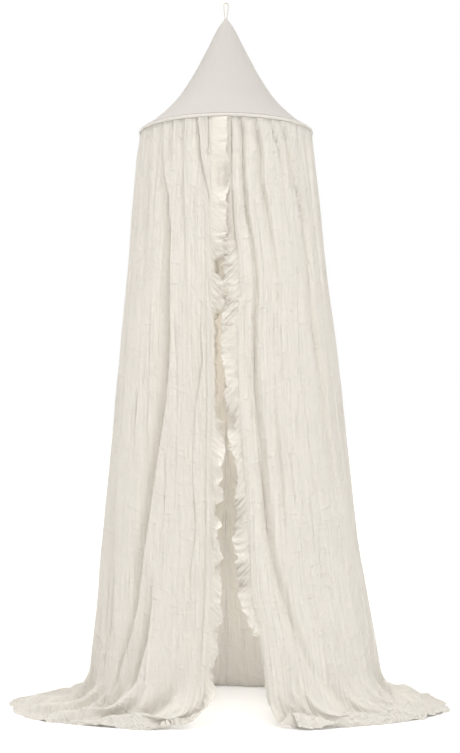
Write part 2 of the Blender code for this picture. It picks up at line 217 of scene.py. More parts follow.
def plain_mesh_of(source, tree, name, values):
    """Runs a tree on an object and returns the result as a plain mesh object."""
    modifier = source.modifiers.new(name, "NODES")
    modifier.node_group = tree
    for item in tree.interface.items_tree:
        if item.item_type == "SOCKET" and item.in_out == "INPUT" and item.name in values:
            modifier[item.identifier] = values[item.name]
    bpy.context.view_layer.update()
    depsgraph = bpy.context.evaluated_depsgraph_get()
    mesh = bpy.data.meshes.new_from_object(source.evaluated_get(depsgraph))
    mesh.name = name
    source.modifiers.remove(modifier)
    return in_scene(name, mesh)


def drawn_curve(name, lines, closed=False):
    """A curve object of straight segments through each line of points."""
    curve = bpy.data.curves.new(name, "CURVE")
    curve.dimensions = "3D"
    for line in lines:
        spline = curve.splines.new("POLY")
        spline.points.add(len(line) - 1)
        spline.use_cyclic_u = closed
        for point, place in zip(spline.points, line):
            point.co = (*place, 1.0)
    return in_scene(name, curve)


# Threads over and under each other: their height, and where they are thick.
weave_group, weave_in, weave_out = new_group("woven_threads", "ShaderNodeTree", (
    ("Place", "Vector"), ("Threads a metre", "Float", 900.0),
    ("Unevenness", "Float", 0.5)), (("Height", "Float"), ("Slub", "Float")))
add, work = hands_for(weave_group)
thread_place = add("ShaderNodeVectorMath", {
    0: weave_in.outputs["Place"], "Scale": weave_in.outputs["Threads a metre"],
}, operation="SCALE").outputs[0]
split = add("ShaderNodeSeparateXYZ", {0: thread_place})
warp, weft = (
    work("SINE", work("MULTIPLY", split.outputs[axis], math.pi))
    for axis in "XY")
slubs = []
for stretch in ((1.0, SLUB_STRETCH, 1.0), (SLUB_STRETCH, 1.0, 1.0)):
    stretched = add("ShaderNodeMapping", {
        "Scale": stretch, "Vector": thread_place})
    slubs.append(add("ShaderNodeTexNoise", {
        "Scale": SLUB_SCALE, "Detail": 2.0, "Vector": stretched.outputs["Vector"],
    }).outputs["Fac"])
slub = work("MULTIPLY", work("ADD", *slubs), 0.5)
crossing = work("MULTIPLY", work("MULTIPLY", warp, weft), CROSSING_HEIGHT)
uneven = work("MULTIPLY", slub, weave_in.outputs["Unevenness"])
wire(weave_group, weave_out, {"Height": work("ADD", crossing, uneven), "Slub": slub})


def cloth_material(name, light, dark, threads, unevenness, bump, roughness, sheen,
                   through=0.0, creases=(), coordinates="UV"):
    """Woven cloth. light and dark are its colour on and between thick threads,
    through is the share of the light that shines through it. creases are layers of
    small creases: strength, length across and along, turn in degrees, kind."""
    material, tree, shader = new_material(name, {
        "Roughness": roughness, "Sheen Weight": sheen,
        "Sheen Roughness": SHEEN_ROUGHNESS, "Specular IOR Level": CLOTH_SPECULAR})
    add, work = hands_for(tree)
    place = add("ShaderNodeTexCoord").outputs[coordinates]
    weave = add("ShaderNodeGroup", {
        "Threads a metre": threads, "Unevenness": unevenness, "Place": place,
    }, node_tree=weave_group)
    cloud = add("ShaderNodeTexNoise", {
        "Scale": CLOUD_SCALE, "Detail": 3.0, "Vector": place})
    tone = work("ADD", work("MULTIPLY", weave.outputs["Slub"], SLUB_TINT),
                work("MULTIPLY", cloud.outputs["Fac"], CLOUD_TINT))
    colour = add("ShaderNodeMix", {
        "A": (*dark, 1.0), "B": (*light, 1.0), "Factor": tone,
    }, data_type="RGBA").outputs["Result"]
    height = work("MULTIPLY", weave.outputs["Height"], bump)
    for strength, across, along, turn, kind in creases:
        turned = add("ShaderNodeMapping", {
            "Rotation": (0.0, 0.0, math.radians(turn)), "Scale": (across, along, 1.0),
            "Vector": place}, vector_type="TEXTURE")
        crease = add("ShaderNodeTexNoise", {
            "Scale": 1.0, "Detail": 3.0, "Roughness": 0.55, "Distortion": 0.7,
            "Vector": turned.outputs["Vector"]}, noise_type=kind)
        height = work("MULTIPLY_ADD", crease.outputs["Fac"], strength, height)
    relief = add("ShaderNodeBump", {
        "Distance": 1.0, "Strength": 1.0, "Height": height}).outputs["Normal"]
    wire(tree, shader, {"Base Color": colour, "Normal": relief})
    if through:
        glow = add("ShaderNodeBsdfTranslucent", {
            "Color": colour, "Normal": relief})
        both = add("ShaderNodeMixShader", {
            "Fac": through, 1: shader.outputs["BSDF"], 2: glow.outputs["BSDF"]})
        wire(tree, tree.nodes["Material Output"], {"Surface": both.outputs["Shader"]})
    return material


loop_cotton = cloth_material(
    "ivory_cord_cotton", light=(0.80, 0.76, 0.69), dark=(0.66, 0.61, 0.53),
    threads=2600.0, unevenness=0.6, bump=0.00015, roughness=0.9, sheen=0.2,
    coordinates="Object")

loop_radius = LOOP_WIDTH / 2
loop_shoulder = CORD_RADIUS - loop_radius
loop_points = []
for step in range(LOOP_SIDE_POINTS):
    share = step / LOOP_SIDE_POINTS
    ease = share**2 * (3 - 2 * share)
    half = LOOP_FOOT / 2 + (loop_radius - LOOP_FOOT / 2) * ease
    loop_points.append((half, -LOOP_DROP + share * (loop_shoulder + LOOP_DROP)))
loop_arc = [
    (loop_radius * math.cos(math.pi * step / LOOP_ARC_POINTS),
     loop_shoulder + loop_radius * math.sin(math.pi * step / LOOP_ARC_POINTS))
    for step in range(LOOP_ARC_POINTS + 1)
]
loop_path = loop_points + loop_arc + [(-x, z) for x, z in reversed(loop_points)]
loop_line = drawn_curve("loop_line", [[(x, 0.0, z) for x, z in loop_path]])

cord_tree, cord_in, cord_out = new_group("twisted_cord", "GeometryNodeTree", (
    ("Geometry", "Geometry"), ("Radius", "Float", CORD_RADIUS),
    ("Twists", "Float", CORD_TWISTS), ("Lobe", "Float", CORD_LOBE),
    ("Cotton", "Material")), (("Geometry", "Geometry"),))
add, work = hands_for(cord_tree)
even = add("GeometryNodeResampleCurve", {
    "Curve": cord_in.outputs["Geometry"], "Count": CORD_RINGS})
turns = work("MULTIPLY", add("GeometryNodeSplineParameter").outputs["Factor"],
             cord_in.outputs["Twists"])
tilt = add("GeometryNodeSetCurveTilt", {
    "Curve": even.outputs["Curve"],
    "Tilt": work("MULTIPLY", turns, 2 * math.pi)})
ring = add("GeometryNodeCurvePrimitiveCircle", {
    "Resolution": CORD_SIDES, "Radius": cord_in.outputs["Radius"]})
ring_place = add("GeometryNodeInputPosition").outputs["Position"]
ring_split = add("ShaderNodeSeparateXYZ", {0: ring_place})
ring_angle = work("ARCTAN2", ring_split.outputs["Y"], ring_split.outputs["X"])
lobes = work("COSINE", work("MULTIPLY", ring_angle, 2.0))
shrink = work("MULTIPLY_ADD", work("SUBTRACT", lobes, 1.0),
              work("MULTIPLY", cord_in.outputs["Lobe"], 0.5), 1.0)
lobed = add("ShaderNodeVectorMath", {0: ring_place, "Scale": shrink}, operation="SCALE")
ring_shaped = add("GeometryNodeSetPosition", {
    "Geometry": ring.outputs["Curve"], "Position": lobed.outputs[0]})
sweep = add("GeometryNodeCurveToMesh", {
    "Fill Caps": True, "Curve": tilt.outputs["Curve"],
    "Profile Curve": ring_shaped.outputs["Geometry"]})
cord_real = add("GeometryNodeRealizeInstances", {
    "Geometry": sweep.outputs["Mesh"]})
cord_cloth = add("GeometryNodeSetMaterial", {
    "Geometry": cord_real.outputs["Geometry"], "Material": cord_in.outputs["Cotton"]})
wire(cord_tree, cord_out, {"Geometry": cord_cloth.outputs["Geometry"]})

loop_cord = plain_mesh_of(loop_line, cord_tree, "loop_cord", {
    "Radius": CORD_RADIUS, "Twists": CORD_TWISTS, "Lobe": CORD_LOBE,
    "Cotton": loop_cotton})
bpy.data.objects.remove(loop_line, do_unlink=True)
loop_cord.data.shade_smooth()
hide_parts("hanging_loop")
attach(loop_cord, "root")

# ---------------- cone top
# The tight upper part: plain-weave cotton, cut in four sectors that are sewn to a
# cone. The pull of the skirt draws it in between its tip and the hoop.
HOOP_HEIGHT = 1.975  # centre line of the hoop above the floor
HOOP_RADIUS = 0.294
COTTON_THICKNESS = 0.0012
CONE_PROFILE = [  # height above the hoop, radius
    (0.3925, 0.0062),
    (0.3780, 0.0170),
    (0.2900, 0.0640),
    (0.1870, 0.1200),
    (0.1050, 0.1760),
    (0.0570, 0.2240),
    (0.0240, 0.2640),
    (0.0070, 0.2928),
]
CONE_ROWS = 70
CONE_COLUMNS = 192
CONE_SEAMS = (38.0, 128.0, 218.0, 308.0)  # degrees round from +X

cone_cotton = cloth_material(
    "tight_plain_cotton", light=(0.612, 0.590, 0.562), dark=(0.555, 0.530, 0.498),
    threads=1400.0, unevenness=0.35, bump=0.00008, roughness=0.9, sheen=0.1,
    through=0.10)


def smooth_table(rows, place):
    """Columns of a table at a place (an array), by a cubic through its rows."""
    table = np.array(rows, dtype=float)
    knots, values = table[:, 0], table[:, 1:]
    order = np.argsort(knots)
    knots, values = knots[order], values[order]
    slopes = np.gradient(values, knots, axis=0)
    place = np.clip(np.asarray(place, dtype=float), knots[0], knots[-1])
    cell = np.clip(np.searchsorted(knots, place) - 1, 0, len(knots) - 2)
    span = knots[cell + 1] - knots[cell]
    t = ((place - knots[cell]) / span)[..., None]
    span = span[..., None]
    start, end = values[cell], values[cell + 1]
    result = (
        (2 * t**3 - 3 * t**2 + 1) * start
        + (t**3 - 2 * t**2 + t) * span * slopes[cell]
        + (3 * t**2 - 2 * t**3) * end
        + (t**3 - t**2) * span * slopes[cell + 1]
    )
    return [result[..., column] for column in range(result.shape[-1])]


def straight_table(rows, place):
    """Columns of a table at a place, by straight lines between its rows."""
    table = np.array(rows, dtype=float)
    return [np.interp(place, table[:, 0], table[:, c]) for c in range(1, table.shape[1])]


def noise(across, along, seed):
    """Smooth noise from -1 to 1 on a lattice of unit cells, repeatable by its seed."""
    size = 512
    lattice = np.random.default_rng(seed).uniform(-1.0, 1.0, (size, size))
    x0, y0 = np.floor(across).astype(int), np.floor(along).astype(int)
    fx, fy = across - x0, along - y0
    fx = fx**3 * (fx * (fx * 6 - 15) + 10)
    fy = fy**3 * (fy * (fy * 6 - 15) + 10)
    x0, y0, x1, y1 = x0 % size, y0 % size, (x0 + 1) % size, (y0 + 1) % size
    low = lattice[x0, y0] * (1 - fx) + lattice[x1, y0] * fx
    high = lattice[x0, y1] * (1 - fx) + lattice[x1, y1] * fx
    return low * (1 - fy) + high * fy


def cloth_sheet(name, grid, flat_places, thickness, material, closed=False):
    """A sheet of cloth through a grid of points, given its thickness on both sides.

    grid is rows x columns x 3, outer face to the viewer when its rows go down and
    its columns go right. flat_places are the same points on the uncut cloth, in
    metres, and become the UV map. closed joins the last column to the first."""
    rows, columns = grid.shape[:2]
    mesh = bpy.data.meshes.new(name)
    last = columns if closed else columns - 1
    row, column = np.meshgrid(np.arange(rows - 1), np.arange(last), indexing="ij")
    after = (column + 1) % columns
    corners = np.stack([row * columns + column, (row + 1) * columns + column,
                        (row + 1) * columns + after, row * columns + after], axis=-1)
    mesh.from_pydata(grid.reshape(-1, 3).tolist(), [], corners.reshape(-1, 4).tolist())
    flat = mesh.uv_layers.new(name="flat_cloth")
    stretch = np.stack([row, row + 1, row + 1, row], axis=-1).reshape(-1)
    turn = np.stack([column, column, column + 1, column + 1], axis=-1).reshape(-1)
    flat.data.foreach_set("uv", flat_places(stretch, turn).astype(np.float32).ravel())
    mesh.materials.append(material)
    mesh.shade_smooth()
    piece = in_scene(name, mesh)
    wall = piece.modifiers.new("thickness", "SOLIDIFY")
    wall.thickness = thickness
    wall.offset = 0.0
    return piece


cone_heights, cone_radii = np.array(CONE_PROFILE).T
cone_shares = np.linspace(0.0, 1.0, CONE_ROWS + 1)
cone_slant = np.concatenate([[0], np.cumsum(np.hypot(
    np.diff(cone_heights), np.diff(cone_radii)))])
cone_knots = list(zip(cone_slant / cone_slant[-1], cone_heights, cone_radii))
cone_height, cone_radius = smooth_table(cone_knots, cone_shares)
cone_turns = np.radians(np.arange(CONE_COLUMNS) * 360.0 / CONE_COLUMNS)
cone_s, cone_t = np.meshgrid(cone_shares, cone_turns, indexing="ij")
seam_pull = np.zeros_like(cone_t)
for seam in np.radians(CONE_SEAMS):
    away = np.abs((cone_t - seam + np.pi) % (2 * np.pi) - np.pi)
    seam_pull += np.exp(-(away * cone_radius[:, None] / 0.004) ** 2)
cone_slack = 0.0010 * noise(cone_t * 3.0, cone_s * 4.0, 11)
cone_slack += 0.0004 * noise(cone_t * 24.0, cone_s * 5.0, 12)
pucker = np.exp(-((1 - cone_s) / 0.05) ** 2)
cone_slack += 0.0007 * pucker * noise(cone_t * 60.0, cone_s * 3.0, 13)
cone_slack *= np.clip(cone_s * 8, 0, 1) * np.clip((1 - cone_s) * 14, 0, 1)
cone_r = cone_radius[:, None] + cone_slack + 0.0005 * seam_pull * np.clip(
    cone_s * 12, 0, 1)
cone_grid = np.stack([
    cone_r * np.cos(cone_t), cone_r * np.sin(cone_t),
    np.broadcast_to(FLOOR + HOOP_HEIGHT + cone_height[:, None], cone_r.shape)], axis=-1)


def cone_flat(row, column):
    return np.stack([cone_turns[1] * column * 0.30, cone_shares[row] * cone_slant[-1]], axis=-1)


cone = cloth_sheet("cone_cotton", cone_grid, cone_flat, COTTON_THICKNESS, cone_cotton,
                   closed=True)
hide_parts("cone_top")
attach(cone, "root")

# ---------------- hoop
# A plain white plastic rod, bent round and joined. It shows only at the narrow gap
# along the inner side of its casing.
ROD_RADIUS = 0.0038
ROD_POINTS = 160
rod_plastic, rod_tree, rod_shader = new_material("white_rod_plastic", {"Roughness": 0.45})
add, work = hands_for(rod_tree)
rod_cloud = add("ShaderNodeTexNoise", {
    "Scale": 60.0, "Vector": add("ShaderNodeTexCoord").outputs["Object"]})
rod_tone = add("ShaderNodeMix", {
    "A": (0.78, 0.77, 0.74, 1.0), "B": (0.84, 0.83, 0.80, 1.0),
    "Factor": rod_cloud.outputs["Fac"]}, data_type="RGBA")
wire(rod_tree, rod_shader, {"Base Color": rod_tone.outputs["Result"]})
rod_turns = [2 * math.pi * number / ROD_POINTS for number in range(ROD_POINTS)]
rod_line = drawn_curve("hoop_line", [[
    (HOOP_RADIUS * math.cos(turn), HOOP_RADIUS * math.sin(turn), FLOOR + HOOP_HEIGHT)
    for turn in rod_turns]], closed=True)
rod_line.data.bevel_depth = ROD_RADIUS
rod_line.data.bevel_resolution = 4
rod_mesh = bpy.data.meshes.new_from_object(
    rod_line.evaluated_get(bpy.context.evaluated_depsgraph_get()))
bpy.data.objects.remove(rod_line, do_unlink=True)
rod = in_scene("hoop_rod", rod_mesh)
rod_mesh.materials.append(rod_plastic)
rod_mesh.shade_smooth()
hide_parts("hoop")
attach(rod, "root")

# ---------------- casing of the hoop
# A narrow sleeve of the plain cotton, folded round the rod and sewn through just
# below it. The skirt's gathers pucker it a little. One row of stitches closes it.
CASING_RADIUS = 0.0051
CASING_SLOT = 40.0  # half angle of its open inner side, in degrees
CASING_ROWS = 14
CASING_COLUMNS = 540
casing_cotton = cloth_material(
    "casing_cotton", light=(0.76, 0.735, 0.695), dark=(0.68, 0.65, 0.60),
    threads=1400.0, unevenness=0.4, bump=0.0001, roughness=0.92, sheen=0.1,
    through=0.1)
casing_angles = np.radians(np.linspace(180 - CASING_SLOT, CASING_SLOT - 180, CASING_ROWS + 1))
casing_turns = np.arange(CASING_COLUMNS) * 2 * np.pi / CASING_COLUMNS
casing_a, casing_t = np.meshgrid(casing_angles, casing_turns, indexing="ij")
low_side = np.clip(0.5 - 0.5 * np.sin(casing_a), 0, 1)
casing_r = CASING_RADIUS + 0.00045 * low_side * noise(
    casing_t * 44.0, casing_a * 0.8, 21) + 0.0002 * noise(casing_t * 110.0, casing_a, 22)
casing_reach = HOOP_RADIUS + casing_r * np.cos(casing_a)
casing_grid = np.stack([
    casing_reach * np.cos(casing_t), casing_reach * np.sin(casing_t),
    FLOOR + HOOP_HEIGHT + casing_r * np.sin(casing_a)], axis=-1)


def casing_flat(row, column):
    return np.stack([casing_turns[1] * column * HOOP_RADIUS,
                     row * (CASING_RADIUS * 4.9 / CASING_ROWS)], axis=-1)


casing = cloth_sheet("casing_sleeve", casing_grid, casing_flat, 0.0010, casing_cotton,
                     closed=True)
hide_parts("hoop_casing")
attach(casing, "root")

# ---------------- skirt halves
# Two wide lengths of crinkled ivory muslin, gathered into the casing, falling in
# long soft folds and trailing on the floor. They meet at centre back. Each front
# edge has a narrow flat hem, and the hem on the floor is turned up once.
CLOTH = 0.0012
SEAM = 0.0003
SKIRT_TOP = 1.9688  # height of the skirt's upper edge
KNEE_HEIGHT = 0.140  # the wall starts to bend towards the floor here
LANDING_SHARE = 0.62  # of the train's reach: it lies down before here
BACK_LANDS_NEARER = 0.34  # less of that share at the back
FLOOR_GAP = 0.0004
GATHERS = 18  # small pleats under the casing, on each half
PLEAT_SHARPNESS = 0.6
SKIRT_COLUMNS = 276
WALL_ROWS, BEND_ROWS, TRAIN_ROWS = 120, 18, 36
FRONT_CROWDING = 0.60  # more columns at the front, where it is seen
MEAN_WIDTH = 1.45  # of one half, across its middle

WALL = np.array([  # height, left, right, front, back: half widths of the wall, in mm
    (1969, 297, 297, 297, 297), (1820, 313, 313, 299, 297), (1540, 341, 344, 302, 298),
    (1200, 377, 384, 304, 300), (840, 408, 424, 306, 301), (500, 441, 468, 306, 302),
    (300, 458, 505, 304, 302), (140, 472, 530, 302, 300), (0, 478, 545, 300, 296),
]) / 1000
FRONT_EDGE = np.array([  # height, left, right: sideways places of the two front edges, in mm
    (1969, -46, 17), (1590, -47, 29), (1520, -47, 38), (1460, -46, 43), (1400, -46, 42),
    (1330, -45, 37), (1240, -44, 37), (1054, -42, 42), (894, -44, 51), (734, -43, 66),
    (540, -44, 77), (410, -46, 87), (290, -52, 112), (140, -64, 132), (0, -72, 142),
]) / 1000
LEFT_HEM = np.array([  # around in thousandths, x, y: where the hem lies on the floor, in mm
    (0, -230, -345), (120, -385, -308), (250, -530, -250), (360, -645, -197),
    (450, -712, -85), (530, -750, 20), (610, -752, 105), (690, -690, 175), (770, -585, 290),
    (880, -330, 430), (1000, 0, 490),
]) / 1000
RIGHT_HEM = np.array([  # around in thousandths, x, y, in mm
    (0, 244, -350), (120, 435, -293), (250, 600, -222), (370, 712, -140), (460, 759, -45),
    (540, 764, 60), (620, 730, 145), (700, 650, 250), (800, 480, 365), (900, 250, 455),
    (1000, 0, 490),
]) / 1000
# Each fold is a valley that wanders round the skirt as it falls: its half width on
# the side away from the opening and on the side towards it, in ten thousandths of the
# half, then fall and place in thousandths and depth in tenths of a millimetre.
LEFT_FOLDS = [
    (140, 45, [(250, 15, 0), (350, 15, 60), (950, 16, 60), (1100, 16, 0)]),
    (600, 45, [
     (0, 209, 151), (40, 203, 189), (102, 186, 240), (142, 157, 270), (232, 143, 310),
     (304, 139, 336), (394, 130, 352), (504, 139, 384), (588, 156, 416), (660, 169, 420),
     (732, 181, 420), (804, 190, 384), (858, 196, 320), (912, 209, 272), (972, 232, 240),
     (1167, 253, 176), (1442, 326, 100), (3000, 330, 100)]),
    (510, 45, [
     (800, 152, 0), (874, 157, 224), (928, 160, 384), (994, 176, 416), (1208, 205, 275),
     (1775, 246, 163), (3000, 263, 75)]),
    (595, 374, [
     (300, 321, 16), (402, 330, 36), (498, 340, 80), (610, 345, 112), (730, 335, 160),
     (808, 320, 208), (924, 308, 224), (1083, 328, 176), (1600, 400, 90), (3000, 440, 80)]),
    (420, 45, [(0, 159, 131), (46, 158, 138), (90, 158, 0)]),
    (420, 45, [
     (0, 107, 131), (36, 106, 138), (82, 103, 86), (146, 94, 113), (252, 82, 32),
     (376, 71, 0)]),
    (360, 45, [
     (0, 55, 150), (44, 45, 170), (70, 40, 150), (100, 26, 130), (132, 9, 100),
     (166, 0, 0)]),
    (210, 45, [
     (300, 33, 0), (388, 35, 80), (422, 30, 96), (472, 39, 96), (510, 50, 64),
     (624, 53, 64), (728, 43, 80), (800, 52, 64), (888, 53, 0)]),
    (180, 45, [(0, 12, 90), (42, 10, 113), (94, 14, 0)]),
    (510, 272, [(0, 286, 131), (62, 282, 165), (228, 262, 64), (340, 262, 0)]),
    (714, 510, [(0, 389, 40), (500, 420, 120), (1000, 410, 160), (3000, 520, 120)]),
    (510, 714, [(0, 500, 40), (500, 500, 140), (1000, 500, 200), (3000, 590, 140)]),
    (714, 510, [(0, 611, 40), (500, 600, 150), (1000, 600, 190), (3000, 660, 140)]),
    (510, 714, [(0, 722, 40), (500, 720, 160), (1000, 725, 200), (3000, 760, 120)]),
    (680, 680, [(0, 833, 40), (500, 840, 160), (1000, 850, 200), (3000, 875, 100)]),
    (510, 510, [(0, 944, 40), (500, 950, 100), (1000, 950, 130), (3000, 955, 80)]),
]
RIGHT_FOLDS = [
    (45, 180, [
     (0, 0, 40), (36, 0, 60), (116, 1, 70), (180, 1, 80), (230, 0, 60), (272, 1, 0)]),
    (45, 360, [
     (0, 36, 161), (26, 45, 207), (84, 43, 207), (132, 47, 207), (166, 49, 207),
     (212, 58, 138), (260, 57, 137), (306, 59, 176), (358, 56, 196), (412, 54, 132),
     (482, 49, 49), (524, 51, 0)]),
    (140, 400, [
     (358, 56, 0), (412, 54, 64), (482, 49, 157), (524, 51, 215), (570, 55, 225),
     (606, 53, 235), (658, 51, 245), (712, 51, 255), (782, 58, 199), (846, 74, 199),
     (890, 81, 182), (924, 89, 137), (965, 100, 128), (1000, 112, 0)]),
    (45, 420, [
     (0, 89, 145), (22, 98, 202), (66, 111, 207), (114, 107, 202), (146, 117, 182),
     (192, 123, 161), (242, 125, 80), (304, 121, 64), (376, 118, 36), (500, 98, 36),
     (550, 104, 80), (642, 102, 96), (694, 98, 80), (784, 92, 0)]),
    (204, 204, [(290, 28, 0), (342, 22, 80), (412, 20, 96), (482, 18, 80), (540, 21, 0)]),
    (45, 390, [
     (0, 150, 129), (34, 173, 161), (78, 193, 117), (142, 192, 97), (214, 190, 32),
     (304, 185, 0)]),
    (45, 480, [
     (0, 195, 129), (28, 224, 161), (106, 252, 202), (138, 273, 207), (176, 288, 207),
     (246, 283, 144), (300, 274, 160), (372, 274, 176), (408, 284, 160), (454, 288, 128),
     (500, 293, 112), (554, 298, 128), (640, 304, 112), (730, 311, 0)]),
    (45, 210, [(0, 285, 60), (50, 304, 70), (100, 320, 50), (200, 330, 0)]),
    (510, 60, [
     (940, 124, 0), (1117, 137, 80), (1383, 158, 110), (1683, 184, 120), (2107, 216, 110),
     (2572, 263, 90), (3000, 290, 50)]),
    (408, 306, [
     (900, 340, 0), (1100, 355, 160), (1458, 400, 180), (1692, 430, 160), (3000, 450, 60)]),
    (714, 510, [(0, 444, 40), (500, 405, 120), (1000, 430, 160), (3000, 520, 120)]),
    (510, 714, [(0, 556, 40), (500, 545, 150), (1000, 550, 200), (3000, 610, 140)]),
    (714, 510, [(0, 667, 40), (500, 672, 150), (1000, 680, 190), (3000, 720, 120)]),
    (510, 714, [(0, 778, 40), (500, 790, 160), (1000, 800, 200), (3000, 835, 100)]),
    (612, 612, [(0, 889, 40), (500, 885, 140), (1000, 890, 180), (3000, 905, 100)]),
    (510, 510, [(0, 944, 40), (500, 950, 100), (1000, 950, 130), (3000, 955, 80)]),
]
FOLD_ROUNDNESS = 1.3  # 1 is a straight flank, 2 one that flattens outwards
FOLD_FULLNESS = [  # fall, share of the depth
    (0.12, 1.0), (0.30, 1.25), (0.75, 1.25), (1.0, 0.85), (1.5, 0.9)]
GATHER_DEPTH = [  # fall, depth of the small pleats
    (0.00, 0.0040), (0.03, 0.0075), (0.15, 0.0065), (0.40, 0.0030), (0.80, 0.0015),
    (3.00, 0.0000)]
LYING_LIFT = [  # fall, height of a fold's crest where the cloth lies
    (0.0, 0.000), (1.0, 0.002), (1.4, 0.014), (2.0, 0.026), (2.6, 0.018), (3.0, 0.004)]
BACK_FROM = 0.78  # around: the train lies flatter from here to the back
FRONT_BAND = 0.018  # width of the flat hem along a front edge
BAND_STEP = 0.0036  # how far that hem stands proud
CREASE_LINES = [  # mean distance across, length, depth, layer
    (0.055, 0.80, 0.0040, 20),
    (0.034, 0.40, 0.0030, 24),
]
CREASE_WIDTH = 0.007
TRAIN_RIDGES = 0.024
TRAIN_SWEEP = 0.07  # how far the ridges lean round for each fall
RIDGE_SPACING, FINE_RIDGE_SPACING = 0.036, 0.015
STREAK_DEPTH, FINE_DEPTH, CRUMPLE_DEPTH, SOFT_DEPTH = 0.0014, 0.0010, 0.0012, 0.0036
RUN_FALLS, RUN_LENGTHS = (0, 1, 2, 3), (0, 1.83, 2.02, 2.30)  # length of cloth, at falls
HEM_STEP = 0.0012  # how far the turned-up hem stands proud
HEM_RAGGED = 0.007  # how unevenly the hem lies on the floor
LEFT, RIGHT = -1.0, 1.0
GATHER_SEEDS = {LEFT: 91, RIGHT: 92}
CRINKLE_SEEDS = {LEFT: 100, RIGHT: 200}
TRAIN_SEEDS = {LEFT: 150, RIGHT: 290}
CRUMPLE_SLANTS = {LEFT: 0.35, RIGHT: -0.2}
PROBE = 0.004  # step in around and fall for measured directions

muslin = cloth_material(
    "ivory_muslin", light=(0.868, 0.841, 0.788), dark=(0.815, 0.782, 0.720),
    threads=700.0, unevenness=0.9, bump=0.00018, roughness=0.95, sheen=0.08,
    through=0.17, creases=(
        (0.0060, 0.007, 0.240, 2.0, "FBM"),
        (0.0040, 0.026, 0.065, 24.0, "RIDGED_MULTIFRACTAL"),
        (0.0040, 0.050, 0.020, -12.0, "RIDGED_MULTIFRACTAL")))


FOLDS = {side: [(outer / 10000, inner / 10000, np.array(line) / (1000, 1000, 10000))
                for outer, inner, line in folds]
         for side, folds in ((LEFT, LEFT_FOLDS), (RIGHT, RIGHT_FOLDS))}


def ramp(value):
    return np.clip(value, 0, 1)


def wall_point(side, around, height):
    """The mean wall of one half, without folds."""
    left, right, front, back = smooth_table(WALL, height)
    edge_left, edge_right = smooth_table(FRONT_EDGE, height)
    width = left if side == LEFT else right
    edge = -edge_left if side == LEFT else edge_right
    start = np.arcsin(edge / width)
    angle = start + around * (np.pi - start)
    depth = np.where(np.cos(angle) > 0, front, back)
    return np.stack([side * width * np.sin(angle), -depth * np.cos(angle), height], axis=-1)


def paired(around, fall):
    return np.broadcast_arrays(
        np.asarray(around, dtype=float), np.asarray(fall, dtype=float))


def mean_point(side, around, fall):
    """The mean cloth of one half: wall, bend and train."""
    around, fall = paired(around, fall)
    height = SKIRT_TOP - ramp(fall) * (SKIRT_TOP - KNEE_HEIGHT)
    wall = wall_point(side, around, height)
    foot = wall_point(side, around, np.zeros_like(height))
    hem_x, hem_y = smooth_table(LEFT_HEM if side == LEFT else RIGHT_HEM, around)
    hem = np.stack([hem_x, hem_y, np.zeros_like(hem_x)], axis=-1)
    train = hem - foot
    reach = np.linalg.norm(train, axis=-1)
    lands_at = LANDING_SHARE - BACK_LANDS_NEARER * ramp((around - BACK_FROM) / 0.16)
    landing = foot + train * np.minimum(lands_at, KNEE_HEIGHT / reach)[..., None]
    bend = ramp(fall - 1)[..., None]
    bent = (1 - bend) ** 2 * wall + 2 * bend * (1 - bend) * foot + bend**2 * landing
    lie = ramp(fall - 2)[..., None]
    lying = landing + lie * (hem - landing)
    fall = fall[..., None]
    return np.where(fall <= 1, wall, np.where(fall <= 2, bent, lying))


def fold_depth(side, around, fall):
    """How far the cloth dips inwards at its folds and gathers."""
    total = np.zeros_like(around)
    for outer, inner, line in FOLDS[side]:
        place, depth = straight_table(line, fall)
        off = around - place
        flank = np.where(off > 0, outer, inner)
        total = total + depth * ramp(1 - np.abs(off) / flank) ** FOLD_ROUNDNESS
    total = total * np.interp(fall, *zip(*FOLD_FULLNESS))
    (gather,) = straight_table(GATHER_DEPTH, fall)
    place = around + 0.010 * noise(around * 14.0, around * 0, GATHER_SEEDS[side])
    pleat = 1 - np.abs(np.sin(np.pi * GATHERS * place)) ** PLEAT_SHARPNESS
    total = total + gather * pleat * np.clip((around - 0.24) / 0.10, 0.12, 1)
    return total * ramp(0.4 + fall / 0.020)


def outward(side, around, fall):
    """Unit normal of the mean cloth, on the face that shows from outside."""
    across = (mean_point(side, ramp(around + PROBE), fall)
              - mean_point(side, ramp(around - PROBE), fall))
    down = (mean_point(side, around, np.clip(fall + PROBE, 0, 3))
            - mean_point(side, around, np.clip(fall - PROBE, 0, 3)))
    normal = side * np.cross(down, across)
    normal /= np.linalg.norm(normal, axis=-1, keepdims=True)
    seam = around > 1 - PROBE
    normal[..., 0] = np.where(seam, 0.0, normal[..., 0])
    return normal / np.linalg.norm(normal, axis=-1, keepdims=True)


def crinkle(side, around, fall):
    """Small creases of washed muslin: long streaks down the cloth, with crumpled
    patches between them."""
    seed = CRINKLE_SEEDS[side]
    across = around * MEAN_WIDTH
    along = np.interp(fall, RUN_FALLS, RUN_LENGTHS)
    drift = 0.020 * noise(across / 0.30, along / 0.45, seed + 1)
    across = across + drift
    streaks = 1 - np.abs(noise(across / 0.034, along / 0.42, seed + 2))
    fine = 1 - np.abs(noise(across / 0.017, along / 0.16, seed + 3))
    slant = across + CRUMPLE_SLANTS[side] * along
    crumple = noise(slant / 0.060, along / 0.13, seed + 4)
    soft = noise(across / 0.11, along / 0.60, seed + 6)
    height = STREAK_DEPTH * streaks**2 + FINE_DEPTH * fine**2 + CRUMPLE_DEPTH * crumple
    height += SOFT_DEPTH * soft
    for spacing, length, depth, layer in CREASE_LINES:
        number = np.floor(across / spacing)
        middle = 0.5 + 0.3 * noise(number, along / length, seed + layer)
        off = np.abs(across / spacing - number - middle) * spacing
        weight = ramp(0.1 + 1.6 * noise(number, along / (0.5 * length), seed + layer + 1))
        height -= depth * weight * ramp(1 - off / CREASE_WIDTH)
    return height


